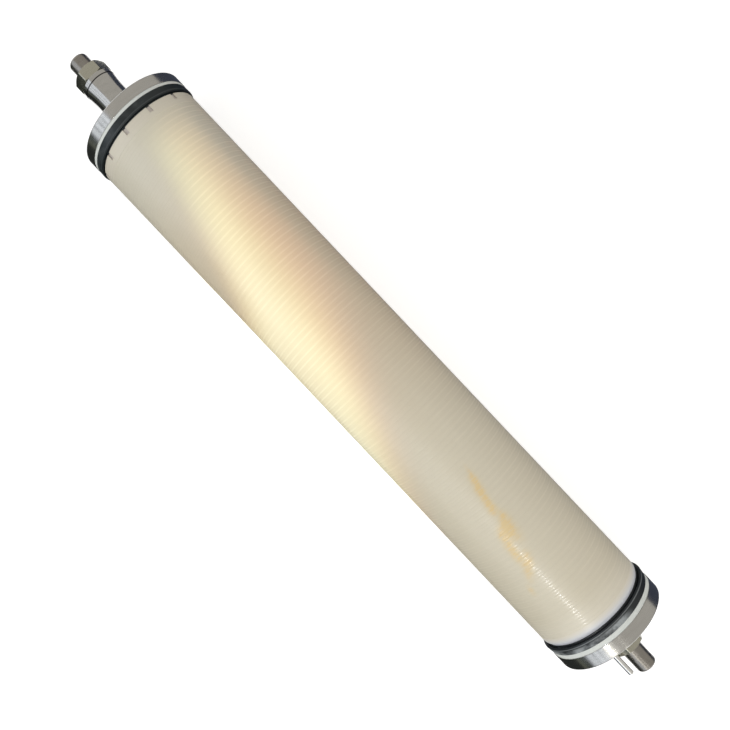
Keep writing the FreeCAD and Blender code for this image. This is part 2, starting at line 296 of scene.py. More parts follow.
class Graph:
    """Adds and joins the nodes of one node tree."""

    def __init__(self, tree: bpy.types.NodeTree) -> None:
        """Keeps the tree that the nodes go into."""
        self.tree = tree

    def add(self, kind: str, inputs: dict[str | int, Value] | None = None,
            **settings: object) -> bpy.types.Node:
        """Adds one node.

        Args:
            kind: Type of the node, without its ShaderNode prefix.
            inputs: Values or sockets for its inputs, by name or number.
            settings: Properties of the node.

        Returns:
            The new node.
        """
        node = self.tree.nodes.new("ShaderNode" + kind)
        for key, value in settings.items():
            setattr(node, key, value)
        for key, value in (inputs or {}).items():
            self.feed(node.inputs[key], value)
        return node

    def feed(self, socket: bpy.types.NodeSocket, value: Value) -> None:
        """Links a socket to an input, or sets the input to a plain value.

        Args:
            socket: The input.
            value: Another node's socket, a number or a colour.
        """
        if isinstance(value, bpy.types.NodeSocket):
            self.tree.links.new(value, socket)
        elif isinstance(value, tuple) and socket.type == "RGBA":
            socket.default_value = (*value, 1.0)
        else:
            socket.default_value = value

    def math(self, operation: str, first: Value, second: Value = 0.0,
             clamp: bool = False) -> bpy.types.NodeSocket:
        """Works out one sum of two numbers.

        Args:
            operation: Which sum, as the Math node calls it.
            first: The first number.
            second: The second number, where the sum has one.
            clamp: Whether the result is kept from 0 to 1.

        Returns:
            The result's socket.
        """
        node = self.add("Math", {0: first, 1: second}, operation=operation, use_clamp=clamp)
        return node.outputs[0]

    def plus(self, first: Value, second: Value) -> bpy.types.NodeSocket:
        """Sum of two numbers."""
        return self.math("ADD", first, second)

    def minus(self, first: Value, second: Value) -> bpy.types.NodeSocket:
        """First number less the second."""
        return self.math("SUBTRACT", first, second)

    def times(self, first: Value, second: Value) -> bpy.types.NodeSocket:
        """Product of two numbers."""
        return self.math("MULTIPLY", first, second)

    def over(self, first: Value, second: Value) -> bpy.types.NodeSocket:
        """First number divided by the second."""
        return self.math("DIVIDE", first, second)

    def reach(self, y: Value, z: Value) -> bpy.types.NodeSocket:
        """Distance of a point from the rod's axis, the root of y squared plus z squared."""
        return self.math("SQRT", self.plus(self.times(y, y), self.times(z, z)))

    def fade(self, value: Value, start: float, end: float, low: float = 0.0,
             high: float = 1.0) -> bpy.types.NodeSocket:
        """Smooth change from low to high while a number goes from start to end.

        Args:
            value: The number that is read.
            start: Where the change starts.
            end: Where it ends.
            low: Result before the start.
            high: Result past the end.

        Returns:
            The result's socket.
        """
        node = self.add("MapRange", {"Value": value, "From Min": start, "From Max": end,
                                     "To Min": low, "To Max": high},
                        interpolation_type="SMOOTHSTEP")
        return node.outputs["Result"]

    def ramp(self, value: Value, start: float, end: float, low: float,
             high: float) -> bpy.types.NodeSocket:
        """Straight change from low to high while a number goes from start to end.

        Args:
            value: The number that is read.
            start: Where the change starts.
            end: Where it ends.
            low: Result before the start.
            high: Result past the end.

        Returns:
            The result's socket.
        """
        return self.add("MapRange", {"Value": value, "From Min": start, "From Max": end,
                                     "To Min": low, "To Max": high}).outputs["Result"]

    def blend(self, share: Value, first: Value, second: Value) -> bpy.types.NodeSocket:
        """Mix of two colours, with the share of the second from 0 to 1."""
        return self.add("MixRGB", {"Fac": share, "Color1": first,
                                   "Color2": second}).outputs["Color"]

    def place(self) -> tuple[bpy.types.NodeSocket, bpy.types.NodeSocket, bpy.types.NodeSocket]:
        """Splits up the object coordinates.

        Returns:
            The sockets of x, y and z, in metres.
        """
        vector = self.add("TexCoord").outputs["Object"]
        parts = self.add("SeparateXYZ", {0: vector}).outputs
        return parts[0], parts[1], parts[2]

    def seen(self) -> bpy.types.NodeSocket:
        """Tells rays that are looked along from rays that carry light to a surface.

        Returns:
            The socket of a mask, 1 for rays of the camera, of gloss and of glass.
        """
        path = self.add("LightPath").outputs
        looked = self.math("MAXIMUM", path["Is Camera Ray"], path["Is Glossy Ray"])
        return self.math("MAXIMUM", looked, path["Is Transmission Ray"])


def blank_graph(owner: bpy.types.Material | bpy.types.World | bpy.types.Light) -> Graph:
    """Gives a material, a world or a lamp an empty node tree.

    Args:
        owner: What the nodes belong to.

    Returns:
        The graph of its tree.
    """
    owner.use_nodes = True
    owner.node_tree.nodes.clear()
    return Graph(owner.node_tree)


def new_group(name: str, inputs: dict[str, float], outputs: list[str]
              ) -> tuple[bpy.types.NodeTree, Graph, bpy.types.Node, bpy.types.Node]:
    """Starts a shader node group with number sockets.

    Args:
        name: Name of the group.
        inputs: Its inputs with their default values.
        outputs: Its outputs.

    Returns:
        The tree, its graph, its input node and its output node.
    """
    tree = bpy.data.node_groups.new(name, "ShaderNodeTree")
    for label, value in inputs.items():
        socket = tree.interface.new_socket(label, in_out="INPUT", socket_type="NodeSocketFloat")
        socket.default_value = value
    for label in outputs:
        tree.interface.new_socket(label, in_out="OUTPUT", socket_type="NodeSocketFloat")
    return (tree, Graph(tree), tree.nodes.new("NodeGroupInput"),
            tree.nodes.new("NodeGroupOutput"))


class Effects:
    """Node groups that several finishes share."""

    def __init__(self) -> None:
        """Builds each group once."""
        self.turning = self.turning_marks()
        self.mottle = self.mottled_tone()
        self.spot = self.soft_spot()
        self.seams = self.seam_lines()

    @staticmethod
    def turning_marks() -> bpy.types.NodeTree:
        """Fine rings that a lathe tool leaves, on cylinders and on faces.

        The height is noise on (x, radius), each times the number of marks per metre, with a
        slow change round the axis, and the shade is the same on a coarser scale.

        Returns:
            The node group.
        """
        tree, graph, given, result = new_group(
            "turning_marks", {"Marks per metre": 1500.0, "Change round": 2.0},
            ["Height", "Shade"])
        x, y, z = graph.place()
        radius = graph.reach(y, z)
        angle = graph.math("ARCTAN2", y, z)
        marks, change = given.outputs[0], given.outputs[1]
        coarse = 0.12
        for scale, output in ((1.0, 0), (coarse, 1)):
            spread = graph.times(marks, scale)
            ring_place = graph.add("CombineXYZ", {
                0: graph.times(x, spread),
                1: graph.times(radius, spread),
                2: graph.times(angle, change)})
            noise = graph.add("TexNoise", {"Vector": ring_place.outputs[0], "Scale": 1.0,
                                           "Detail": 2.0, "Roughness": 0.6})
            graph.feed(result.inputs[output], noise.outputs[0])
        return tree

    @staticmethod
    def mottled_tone() -> bpy.types.NodeTree:
        """Cloudy change of tone, which can be drawn out round the rod.

        The value is 1/2 + 0.6 (noise - 1/2) / sharpness, kept from 0 to 1, on noise whose
        place along X is multiplied by the along value.

        Returns:
            The node group, whose value goes from 0 to 1.
        """
        tree, graph, given, result = new_group(
            "mottled_tone", {"Patches per metre": 20.0, "Along": 1.0, "Sharpness": 0.2},
            ["Value"])
        x, y, z = graph.place()
        scale = given.outputs[0]
        place = graph.add("CombineXYZ", {
            0: graph.times(graph.times(x, scale), given.outputs[1]),
            1: graph.times(y, scale),
            2: graph.times(z, scale)})
        noise = graph.add("TexNoise", {"Vector": place.outputs[0], "Scale": 1.0,
                                       "Detail": 4.0, "Roughness": 0.55})
        centred = graph.minus(noise.outputs[0], 0.5)
        contrast = graph.over(0.6, given.outputs[2])
        value = graph.math("ADD", graph.times(centred, contrast), 0.5, clamp=True)
        graph.feed(result.inputs[0], value)
        return tree

    @staticmethod
    def soft_spot() -> bpy.types.NodeTree:
        """Soft oval patch on the rim, told by its place along the rod and round it.

        With dx and da the distances from the centre in metres, the mask is
        exp(-(dx / half length)^2 - ((da - lean dx) / half width)^2).

        Returns:
            The node group.
        """
        tree, graph, given, result = new_group(
            "soft_spot", {"Along": 0.0, "Around": 0.0, "Centre along": 0.0,
                          "Centre around": 0.0, "Half length": 0.01, "Half width": 0.01,
                          "Lean": 0.0}, ["Mask"])
        along, around, x0, a0, half_length, half_width, lean = given.outputs[:7]
        dx = graph.minus(along, x0)
        da = graph.minus(graph.minus(around, a0), graph.times(dx, lean))
        dx = graph.over(dx, half_length)
        da = graph.over(da, half_width)
        total = graph.plus(graph.times(dx, dx), graph.times(da, da))
        graph.feed(result.inputs[0], graph.math("POWER", math.e, graph.times(total, -1.0)))
        return tree

    @staticmethod
    def seam_lines() -> bpy.types.NodeTree:
        """Lines at an even pitch along the rod.

        The distance to the nearest line is |fract(x / pitch + 1/2) - 1/2| times the pitch.

        Returns:
            The node group, whose line is 1 on a seam and 0 away from it.
        """
        tree, graph, given, result = new_group(
            "seam_lines", {"Start": 0.0, "Pitch": 0.01, "Half width": 0.0006}, ["Line"])
        x, _, _ = graph.place()
        start, pitch, half_width = given.outputs[:3]
        turns = graph.plus(graph.over(graph.minus(x, start), pitch), 0.5)
        away = graph.math("ABSOLUTE", graph.minus(graph.math("FRACT", turns), 0.5))
        away = graph.over(graph.times(away, pitch), half_width)
        graph.feed(result.inputs[0], graph.fade(away, 0.4, 1.6, 1.0, 0.0))
        return tree


class Finish:
    """A material that is built once and shared by its pieces."""

    name: str

    def start(self) -> tuple[bpy.types.Material, Graph, bpy.types.Node]:
        """Starts the material.

        Returns:
            The material, its graph and its shader node.
        """
        material = bpy.data.materials.new(self.name)
        graph = blank_graph(material)
        shader = graph.add("BsdfPrincipled")
        graph.add("OutputMaterial", {"Surface": shader.outputs[0]})
        return material, graph, shader

    @staticmethod
    def use(graph: Graph, tree: bpy.types.NodeTree, **inputs: Value) -> bpy.types.Node:
        """Places a node group in a material.

        Args:
            graph: Graph of the material.
            tree: The node group.
            inputs: Its values, named as its inputs with _ for a space.

        Returns:
            The group's node.
        """
        node = graph.add("Group", node_tree=tree)
        for key, value in inputs.items():
            graph.feed(node.inputs[key.replace("_", " ")], value)
        return node


@dataclass(frozen=True)
class TurnedMetal(Finish):
    """Stainless steel with its tool marks as fine rings, and a painted shade line at a joint."""

    name: str
    light: Colour
    dark: Colour
    roughness: float
    marks_per_metre: float
    mark_height: float
    joint_x: float | None = None
    joint_shade_half_width: float = 0.0009
    joint_shade_share: float = 0.93
    joint_shade_colour: Colour = (0.02, 0.02, 0.02)
    mark_share: float = 0.6

    def build(self, effects: Effects) -> bpy.types.Material:
        """Makes the material.

        Args:
            effects: The shared node groups.

        Returns:
            The material.
        """
        material, graph, shader = self.start()
        marks = self.use(graph, effects.turning, Marks_per_metre=self.marks_per_metre)
        cloud = self.use(graph, effects.mottle, Patches_per_metre=28.0, Along=2.0,
                         Sharpness=0.35)
        tone = graph.plus(graph.times(marks.outputs["Shade"], self.mark_share),
                          graph.times(cloud.outputs[0], 1 - self.mark_share))
        colour = graph.blend(tone, self.dark, self.light)
        # Painted shade: a dark line where shade falls in the joint at joint_x.
        if self.joint_x is not None:
            painted_joint_shade = self.use(graph, effects.seams, Start=self.joint_x * MM, Pitch=SINGLE_LINE,
                             Half_width=self.joint_shade_half_width).outputs[0]
            colour = graph.blend(graph.times(painted_joint_shade, self.joint_shade_share), colour,
                                 self.joint_shade_colour)
        graph.feed(shader.inputs["Base Color"], colour)
        shader.inputs["Metallic"].default_value = 1.0
        graph.feed(shader.inputs["Roughness"], graph.fade(
            cloud.outputs[0], 0.0, 1.0, self.roughness * 0.8, self.roughness * 1.25))
        bump = graph.add("Bump", {"Strength": 1.0, "Distance": self.mark_height,
                                  "Height": marks.outputs["Height"]})
        graph.feed(shader.inputs["Normal"], bump.outputs[0])
        return material


@dataclass(frozen=True)
class Spot:
    """One soft patch of the ochre stain, in millimetres, with its strength as a share."""

    x: float
    angle_deg: float
    half_length: float
    half_width: float
    strength: float


@dataclass(frozen=True)
class MouldedPlastic(Finish):
    """Moulded plastic with cloudy tone, painted highlight lines on the seams, and soft stains.

    The end tints take over, one after the other, between two places along the rod. The painted
    hollow shade darkens what is sunk below the rim, such as the inlet disc's slots.
    """

    name: str
    colour: Colour
    tint: Colour
    shade: Colour
    roughness: float
    seam_highlight_colour: Colour | None = None
    seam_start: float = 0.0
    seam_pitch: float = 10.0
    seam_highlight_share: float = 0.42
    painted_hollow_shade: Colour | None = None
    coat: float = 0.0
    end_tints: tuple[tuple[float, float, Colour], ...] = ()
    radius: float = 98.5
    stain_colour: Colour | None = None
    spots: tuple[Spot, ...] = ()
    spot_lean: float = 0.12
    stain_least: float = 0.25
    stain_most: float = 0.85
    grain_share: float = 0.22
    grain_height: float = 0.2
    painted_groove_shade_share: float = 0.12
    coat_roughness: float = 0.17
    hollow_drop: tuple[float, float] = (0.9, 0.5)
    lit_band_slopes: tuple[float, float] = (2.6, 1.78)

    def stain(self, graph: Graph, effects: Effects) -> bpy.types.NodeSocket:
        """Mask of the stain: the spots' sum, broken up by mottling.

        Args:
            graph: Graph of the material.
            effects: The shared node groups.

        Returns:
            The mask's socket.
        """
        x, y, z = graph.place()
        turn = graph.math("ARCTAN2", graph.times(y, -1.0), z)
        around = graph.times(turn, self.radius * MM)
        total: Value = 0.0
        for spot in self.spots:
            mask = self.use(graph, effects.spot, Along=x, Around=around,
                            Centre_along=spot.x * MM,
                            Centre_around=math.radians(spot.angle_deg) * self.radius * MM,
                            Half_length=spot.half_length * MM,
                            Half_width=spot.half_width * MM, Lean=self.spot_lean)
            total = graph.plus(total, graph.times(mask.outputs[0], spot.strength))
        broken = self.use(graph, effects.mottle, Patches_per_metre=110.0, Along=1.9,
                          Sharpness=0.35)
        share = graph.plus(graph.times(broken.outputs[0], 1 - self.stain_least),
                           self.stain_least)
        line = self.use(graph, effects.seams, Start=self.seam_start * MM,
                        Pitch=self.seam_pitch * MM, Half_width=0.0009).outputs[0]
        share = graph.times(share, graph.fade(line, 0, 1, 1.0, 0.6))
        return graph.math("MINIMUM", graph.times(total, share), self.stain_most)

    def lit_seam_share(self, graph: Graph, x: bpy.types.NodeSocket,
                  y: bpy.types.NodeSocket) -> bpy.types.NodeSocket:
        """Share of the painted seam highlights that shows: most in the slanting band where the warm
        beam falls, least at -Y.

        The band lies between two lines at which x plus a slope times y is fixed.

        Args:
            graph: Graph of the material.
            x: Place along the rod in metres.
            y: Place across it in metres.

        Returns:
            The share's socket.
        """
        first, last = (graph.plus(x, graph.times(y, slope)) for slope in self.lit_band_slopes)
        band = graph.fade(last, -0.08, 0.16, 1.0, 0.0)
        plain = graph.fade(y, -0.02, 0.05, 0.22, 0.62)
        share = graph.math("MAXIMUM", band, plain)
        return graph.times(share, graph.fade(first, -0.50, -0.34, 0.10, 1.0))

    def build(self, effects: Effects) -> bpy.types.Material:
        """Makes the material.

        Args:
            effects: The shared node groups.

        Returns:
            The material.
        """
        material, graph, shader = self.start()
        x, y, z = graph.place()
        cloud = self.use(graph, effects.mottle, Patches_per_metre=7.0, Sharpness=0.5)
        grain = self.use(graph, effects.mottle, Patches_per_metre=160.0, Sharpness=0.6)
        colour = graph.blend(cloud.outputs[0], self.colour, self.tint)
        for near, far, tint in self.end_tints:
            colour = graph.blend(graph.fade(x, near * MM, far * MM), colour, tint)
        colour = graph.blend(graph.times(grain.outputs[0], self.grain_share), colour,
                             self.shade)
        height = graph.times(grain.outputs[0], self.grain_height)
        # Painted highlight: pale lines on the raised seams, shown most where the light falls.
        if self.seam_highlight_colour is not None:
            line = self.use(graph, effects.seams, Start=self.seam_start * MM,
                            Pitch=self.seam_pitch * MM, Half_width=0.0012).outputs[0]
            uneven = self.use(graph, effects.mottle, Patches_per_metre=24.0, Along=5.0,
                              Sharpness=0.3)
            share = graph.times(line, graph.fade(
                uneven.outputs[0], 0, 1, self.seam_highlight_share * 0.3, self.seam_highlight_share))
            share = graph.times(share, self.lit_seam_share(graph, x, y))
            colour = graph.blend(share, colour, self.seam_highlight_colour)
            # Painted shade: a thin dark line in the groove halfway along each pair.
            half = self.use(graph, effects.seams,
                            Start=(self.seam_start + self.seam_pitch / 2) * MM,
                            Pitch=self.seam_pitch * MM, Half_width=0.0005).outputs[0]
            colour = graph.blend(graph.times(half, self.painted_groove_shade_share), colour,
                                 self.shade)
        if self.stain_colour is not None:
            colour = graph.blend(self.stain(graph, effects), colour, self.stain_colour)
        # Painted shade in what is sunk below the rim.
        if self.painted_hollow_shade is not None:
            deep, shallow = (self.radius - drop for drop in self.hollow_drop)
            hollow = graph.fade(graph.reach(y, z), deep * MM, shallow * MM, 1.0, 0.0)
            colour = graph.blend(hollow, colour, self.painted_hollow_shade)
        graph.feed(shader.inputs["Base Color"], colour)
        graph.feed(shader.inputs["Roughness"], graph.fade(
            grain.outputs[0], 0, 1, self.roughness * 0.85, self.roughness * 1.15))
        shader.inputs["Specular IOR Level"].default_value = 0.5
        if self.coat:
            shader.inputs["Coat Roughness"].default_value = self.coat_roughness
            dash = self.use(graph, effects.seams, Start=self.seam_start * MM,
                            Pitch=self.seam_pitch / 2 * MM, Half_width=0.0011).outputs[0]
            graph.feed(shader.inputs["Coat Weight"],
                       graph.fade(dash, 0, 1, self.coat, self.coat * 0.15))
        bump = graph.add("Bump", {"Strength": 0.5, "Distance": 0.00008, "Height": height})
        graph.feed(shader.inputs["Normal"], bump.outputs[0])
        return material


@dataclass(frozen=True)
class Rubber(Finish):
    """Black rubber with grey bloom and painted sheen in patches, and a painted highlight line at
    the lip's edge.

    The bloom and painted sheen come in from their start along the rod to where they are full, and
    across the element, towards +Y, the painted sheen goes out between two places in metres.
    """

    name: str
    colour: Colour
    bloom_and_sheen: Colour
    bloom_and_sheen_share: float
    roughness: float
    bloom_and_sheen_start: float
    bloom_and_sheen_full: float
    lip_x: float
    lip_highlight_half_width: float = 0.0007
    lip_highlight_share: float = 0.35
    painted_sheen_across: tuple[float, float] = (0.048, 0.015)

    def build(self, effects: Effects) -> bpy.types.Material:
        """Makes the material.

        Args:
            effects: The shared node groups.

        Returns:
            The material.
        """
        material, graph, shader = self.start()
        patches = self.use(graph, effects.mottle, Patches_per_metre=36.0, Along=1.5,
                           Sharpness=0.15)
        fine = self.use(graph, effects.mottle, Patches_per_metre=240.0, Along=1.0,
                        Sharpness=0.5)
        # Grey bloom in patches with painted sheen, which fades out towards +Y.
        share = graph.times(patches.outputs[0], self.bloom_and_sheen_share)
        share = graph.times(share, graph.fade(fine.outputs[0], 0, 1, 0.6, 1.0))
        x, y, _ = graph.place()
        share = graph.times(share, graph.fade(
            x, self.bloom_and_sheen_start * MM, self.bloom_and_sheen_full * MM))
        share = graph.times(share, graph.fade(y, *self.painted_sheen_across))
        # Painted highlight: a pale line on the lip's edge.
        lip = self.use(graph, effects.seams, Start=self.lip_x * MM, Pitch=SINGLE_LINE,
                       Half_width=self.lip_highlight_half_width).outputs[0]
        share = graph.math("MAXIMUM", share, graph.times(lip, self.lip_highlight_share))
        graph.feed(shader.inputs["Base Color"], graph.blend(share, self.colour, self.bloom_and_sheen))
        graph.feed(shader.inputs["Roughness"], graph.fade(
            patches.outputs[0], 0, 1, self.roughness, self.roughness * 1.3))
        shader.inputs["Specular IOR Level"].default_value = 0.4
        bump = graph.add("Bump", {"Strength": 0.6, "Distance": 0.0002,
                                  "Height": fine.outputs[0]})
        graph.feed(shader.inputs["Normal"], bump.outputs[0])
        return material


@dataclass(frozen=True)
class Fleece(Finish):
    """White membrane on fleece, with the fibres as fine noise."""

    name: str
    colour: Colour
    shade: Colour

    def build(self, effects: Effects) -> bpy.types.Material:
        """Makes the material.

        Args:
            effects: The shared node groups.

        Returns:
            The material.
        """
        material, graph, shader = self.start()
        fibres = self.use(graph, effects.mottle, Patches_per_metre=900.0, Sharpness=0.4)
        graph.feed(shader.inputs["Base Color"],
                   graph.blend(fibres.outputs[0], self.shade, self.colour))
        graph.feed(shader.inputs["Roughness"], graph.fade(fibres.outputs[0], 0, 1, 0.75, 0.95))
        bump = graph.add("Bump", {"Strength": 0.5, "Distance": 0.0001,
                                  "Height": fibres.outputs[0]})
        graph.feed(shader.inputs["Normal"], bump.outputs[0])
        return material


# Each spot's place along the rod, angle, half length, half width and strength
DISC_STAIN = (
    Spot(239, -2.6, 10, 3.0, 0.60),
    Spot(254, -0.6, 11, 6.0, 1.35),
    Spot(271, 2.0, 11, 6.5, 1.65),
    Spot(291, 4.2, 11, 6.5, 1.30),
    Spot(307, 5.6, 9, 7.0, 1.50),
    Spot(324, 2.0, 9, 6.0, 0.70),
    Spot(334, 5.2, 11, 9.5, 1.25),
    Spot(348, 8.5, 11, 11.0, 2.00),
    Spot(345, 15.0, 8, 7.0, 1.20),
    Spot(364, 5.5, 12, 9.0, 0.55),
    Spot(368, 17.5, 14, 7.5, 1.30),
    Spot(388, 18.8, 12, 7.0, 1.20),
    Spot(395, 11.0, 9, 7.0, 0.75),
    Spot(405, 15.5, 10, 8.5, 1.25),
    Spot(417, 20.5, 10, 7.0, 1.05),
    Spot(428, 25.5, 9, 5.0, 0.55),
    Spot(446, 32.5, 9, 4.5, 0.75),
)


class Finishes:
    """All the materials of the element."""

    def __init__(self) -> None:
        """Builds the node groups and then every material."""
        effects = Effects()
        self.turned = TurnedMetal(
            "turned_stainless", light=(0.54, 0.53, 0.505), dark=(0.43, 0.425, 0.405),
            roughness=0.17, marks_per_metre=1700.0, mark_height=0.00003,
            joint_x=Layout.neck_end).build(effects)
        self.rod = TurnedMetal(
            "drawn_stainless", light=(0.36, 0.34, 0.31), dark=(0.22, 0.205, 0.185),
            roughness=0.26, marks_per_metre=900.0, mark_height=0.00005).build(effects)
        self.nut = TurnedMetal(
            "milled_stainless", light=(0.48, 0.47, 0.395), dark=(0.40, 0.39, 0.32),
            roughness=0.24, marks_per_metre=700.0, mark_height=0.00003).build(effects)
        self.polished = TurnedMetal(
            "polished_stainless", light=(0.80, 0.80, 0.79), dark=(0.72, 0.72, 0.71),
            roughness=0.10, marks_per_metre=1200.0, mark_height=0.00001).build(effects)
        self.disc = MouldedPlastic(
            "cream_disc_plastic", colour=(0.59, 0.56, 0.465), tint=(0.58, 0.545, 0.445),
            shade=(0.51, 0.46, 0.36), roughness=0.42, seam_highlight_colour=(0.72, 0.66, 0.54),
            seam_start=Layout.stack_start, coat=0.35,
            end_tints=((-470.0, -240.0, (0.60, 0.51, 0.375)),
                       (-60.0, 200.0, (0.60, 0.55, 0.43)),
                       (495.0, 540.0, (0.65, 0.605, 0.495))),
            stain_colour=(0.655, 0.49, 0.23), spots=DISC_STAIN).build(effects)
        self.inlet = MouldedPlastic(
            "cream_inlet_plastic", colour=(0.60, 0.565, 0.475), tint=(0.59, 0.55, 0.455),
            shade=(0.51, 0.47, 0.38), roughness=0.42, coat=0.35,
            painted_hollow_shade=(0.49, 0.445, 0.40)).build(effects)
        self.outlet = MouldedPlastic(
            "white_outlet_plastic", colour=(0.66, 0.62, 0.525), tint=(0.655, 0.61, 0.515),
            shade=(0.60, 0.59, 0.56), roughness=0.38,
            end_tints=((540.5, 555.0, (0.585, 0.61, 0.665)),)).build(effects)
        self.backup = MouldedPlastic(
            "pale_backup_plastic", colour=(0.62, 0.645, 0.615), tint=(0.65, 0.67, 0.645),
            shade=(0.55, 0.575, 0.55), roughness=0.55).build(effects)
        self.hub_rubber = Rubber(
            "hub_end_rubber", colour=(0.008, 0.013, 0.014), bloom_and_sheen=(0.080, 0.090, 0.093),
            bloom_and_sheen_share=0.5, roughness=0.36, bloom_and_sheen_start=-525.0, bloom_and_sheen_full=-528.0,
            lip_x=-525.6).build(effects)
        self.pin_rubber = Rubber(
            "pin_end_rubber", colour=(0.010, 0.013, 0.015), bloom_and_sheen=(0.36, 0.385, 0.395),
            bloom_and_sheen_share=1.0, roughness=0.33, bloom_and_sheen_start=563.0, bloom_and_sheen_full=566.5,
            lip_x=562.6).build(effects)
        self.fleece = Fleece(
            "membrane_fleece_white", colour=(0.80, 0.80, 0.78),
            shade=(0.68, 0.68, 0.66)).build(effects)


# Sub-assemblies


@dataclass
class DiscStack:
    """The guide discs between the inlet disc and the outlet disc, in four runs.

    A pocket's wall leans by the step, so that no two points of a section fall together
    where a face has no pocket.
    """

    layout: Layout
    finishes: Finishes
    runs: int = 4
    pairs_per_run: int = 26
    pair_pitch: float = 10.0
    points_round: int = 144
    step: float = 0.01

    def rim(self, x_start: float) -> np.ndarray:
        """Rim of one run of discs.

        Each pair of discs has a narrow raised bead where it starts, a shallow groove half
        way, and a slight crown on each disc between them.

        Args:
            x_start: Where the run starts.

        Returns:
            Rows of (x, radius) along the rim.
        """
        x = np.array([0.0, 0.22, 0.42, 1.5, 2.6, 3.7, 4.75, 5.0,
                      5.25, 6.3, 7.4, 8.5, 9.58, 9.78])
        drop = np.array([0.0, 0.03, 0.20, 0.15, 0.10, 0.15, 0.24, 0.34,
                         0.24, 0.15, 0.10, 0.15, 0.20, 0.03])
        starts = x_start + self.pair_pitch * np.arange(self.pairs_per_run)
        along = (starts[:, None] + x).ravel()
        radius = np.tile(self.layout.disc_radius - drop, self.pairs_per_run)
        end = [[x_start + self.pair_pitch * self.pairs_per_run, self.layout.disc_radius]]
        return np.concatenate([np.stack([along, radius], axis=1), end])

    def build(self) -> None:
        """Makes the four runs, with the first and last cushion's pockets in the end faces."""
        lay = self.layout
        length = self.pair_pitch * self.pairs_per_run
        for run in range(self.runs):
            x_start = lay.stack_start + run * length
            x_end = x_start + length
            low = lay.pocket_depth if run == 0 else 0.0
            high = lay.pocket_depth if run == self.runs - 1 else 0.0
            inner = np.array([
                [x_end, lay.pocket_radius + self.step], [x_end - high, lay.pocket_radius],
                [x_end - high, lay.land_radius + self.step], [x_end, lay.land_radius],
                [x_end, lay.disc_bore_radius], [x_start, lay.disc_bore_radius],
                [x_start, lay.land_radius], [x_start + low, lay.land_radius + self.step],
                [x_start + low, lay.pocket_radius], [x_start, lay.pocket_radius + self.step]])
            section = np.concatenate([self.rim(x_start), inner])
            add_piece("guide_discs_%d" % (run + 1),
                      carried_round(section, full_turn(self.points_round)),
                      self.finishes.disc, "guide_disc_stack")


@dataclass
class InletDisc:
    """The thick cream disc with flow slots at its rim.

    A slot's side walls turn by side_wall_deg and its end wall runs over end_wall, so that
    their faces have an area. The guard lines on both sides keep the rim's shading even.
    """

    layout: Layout
    finishes: Finishes
    slots: int = 12
    slot_width: float = 6.4
    slot_length: float = 11.0
    slot_depth: float = 2.5
    phase_deg: float = 12.0
    edge: float = 0.35
    slot_points: int = 5
    land_points: int = 13
    side_wall_deg: float = 0.03
    end_wall: float = 0.02
    guard: float = 0.6
    step: float = 0.01

    def angles(self) -> tuple[np.ndarray, np.ndarray]:
        """Angles round the disc, close together at the slot walls.

        Returns:
            The angles in radians, and for each whether it lies in a slot.
        """
        half = math.degrees(math.asin(self.slot_width / 2 / self.layout.disc_radius))
        sector = 360 / self.slots
        wall = half + self.side_wall_deg
        slot = np.linspace(-half, half, self.slot_points)
        land = np.linspace(wall, sector - wall, self.land_points)
        offsets = np.concatenate([slot, land])
        in_slot = np.arange(len(offsets)) < self.slot_points
        starts = self.phase_deg + sector * np.arange(self.slots)
        return (np.radians((starts[:, None] + offsets).ravel()),
                np.tile(in_slot, self.slots))

    def build(self) -> None:
        """Makes the disc: its rim radius drops by the slot depth inside each slot."""
        lay = self.layout
        angles, in_slot = self.angles()
        x0, x1, edge = lay.inlet_disc_start, lay.stack_start, self.edge
        wall = x0 + self.slot_length
        outer = np.where(in_slot, lay.disc_radius - self.slot_depth, lay.disc_radius)[:, None]
        ones = np.ones_like(outer)
        bend = edge * 0.3
        x = np.array([x0, x0, x0, x0 + bend, x0 + edge, x0 + edge * 2, wall - self.guard,
                      wall - self.end_wall, wall, wall + self.guard, x1 - edge * 2, x1 - edge,
                      x1 - bend, x1, x1, x1 - lay.pocket_depth, x1 - lay.pocket_depth, x1, x1])
        rim = lay.disc_radius
        radius = np.concatenate([
            ones * lay.disc_bore_radius, ones * (lay.disc_radius - self.slot_depth - 1),
            outer - edge, outer - bend, outer, outer, outer, outer,
            ones * rim, ones * rim, ones * rim, ones * rim, ones * (rim - bend),
            ones * (rim - edge), ones * lay.pocket_radius,
            ones * (lay.pocket_radius - self.step),
            ones * lay.land_radius, ones * (lay.land_radius - self.step),
            ones * lay.disc_bore_radius], axis=1)
        section = np.stack([np.broadcast_to(x, radius.shape), radius], axis=-1)
        add_piece("slotted_inlet_disc", carried_round(section, angles), self.finishes.inlet,
                  "inlet_disc")


@dataclass
class OutletDisc:
    """The smooth white end disc with a bevelled rim."""

    layout: Layout
    finishes: Finishes
    bevel_length: float = 6.0
    bevel_drop: float = 3.0

    def build(self) -> None:
        """Makes the disc with its pocket for the last cushion."""
        lay = self.layout
        x0, x1 = lay.stack_end, lay.outlet_disc_end
        section = np.array([
            [x0, lay.disc_bore_radius], [x0, lay.land_radius],
            [x0 + lay.pocket_depth, lay.land_radius], [x0 + lay.pocket_depth, lay.pocket_radius],
            [x0, lay.pocket_radius], [x0, lay.disc_radius],
            [x1 - self.bevel_length, lay.disc_radius], [x1, lay.disc_radius - self.bevel_drop],
            [x1, lay.disc_bore_radius]])
        setback = np.array([0.3, 0.2, 0.2, 0.2, 0.2, 0.25, 1.8, 0.7, 0.3])
        add_piece("bevelled_outlet_disc",
                  carried_round(softened(section, setback), full_turn(RING_POINTS)),
                  self.finishes.outlet, "outlet_disc")


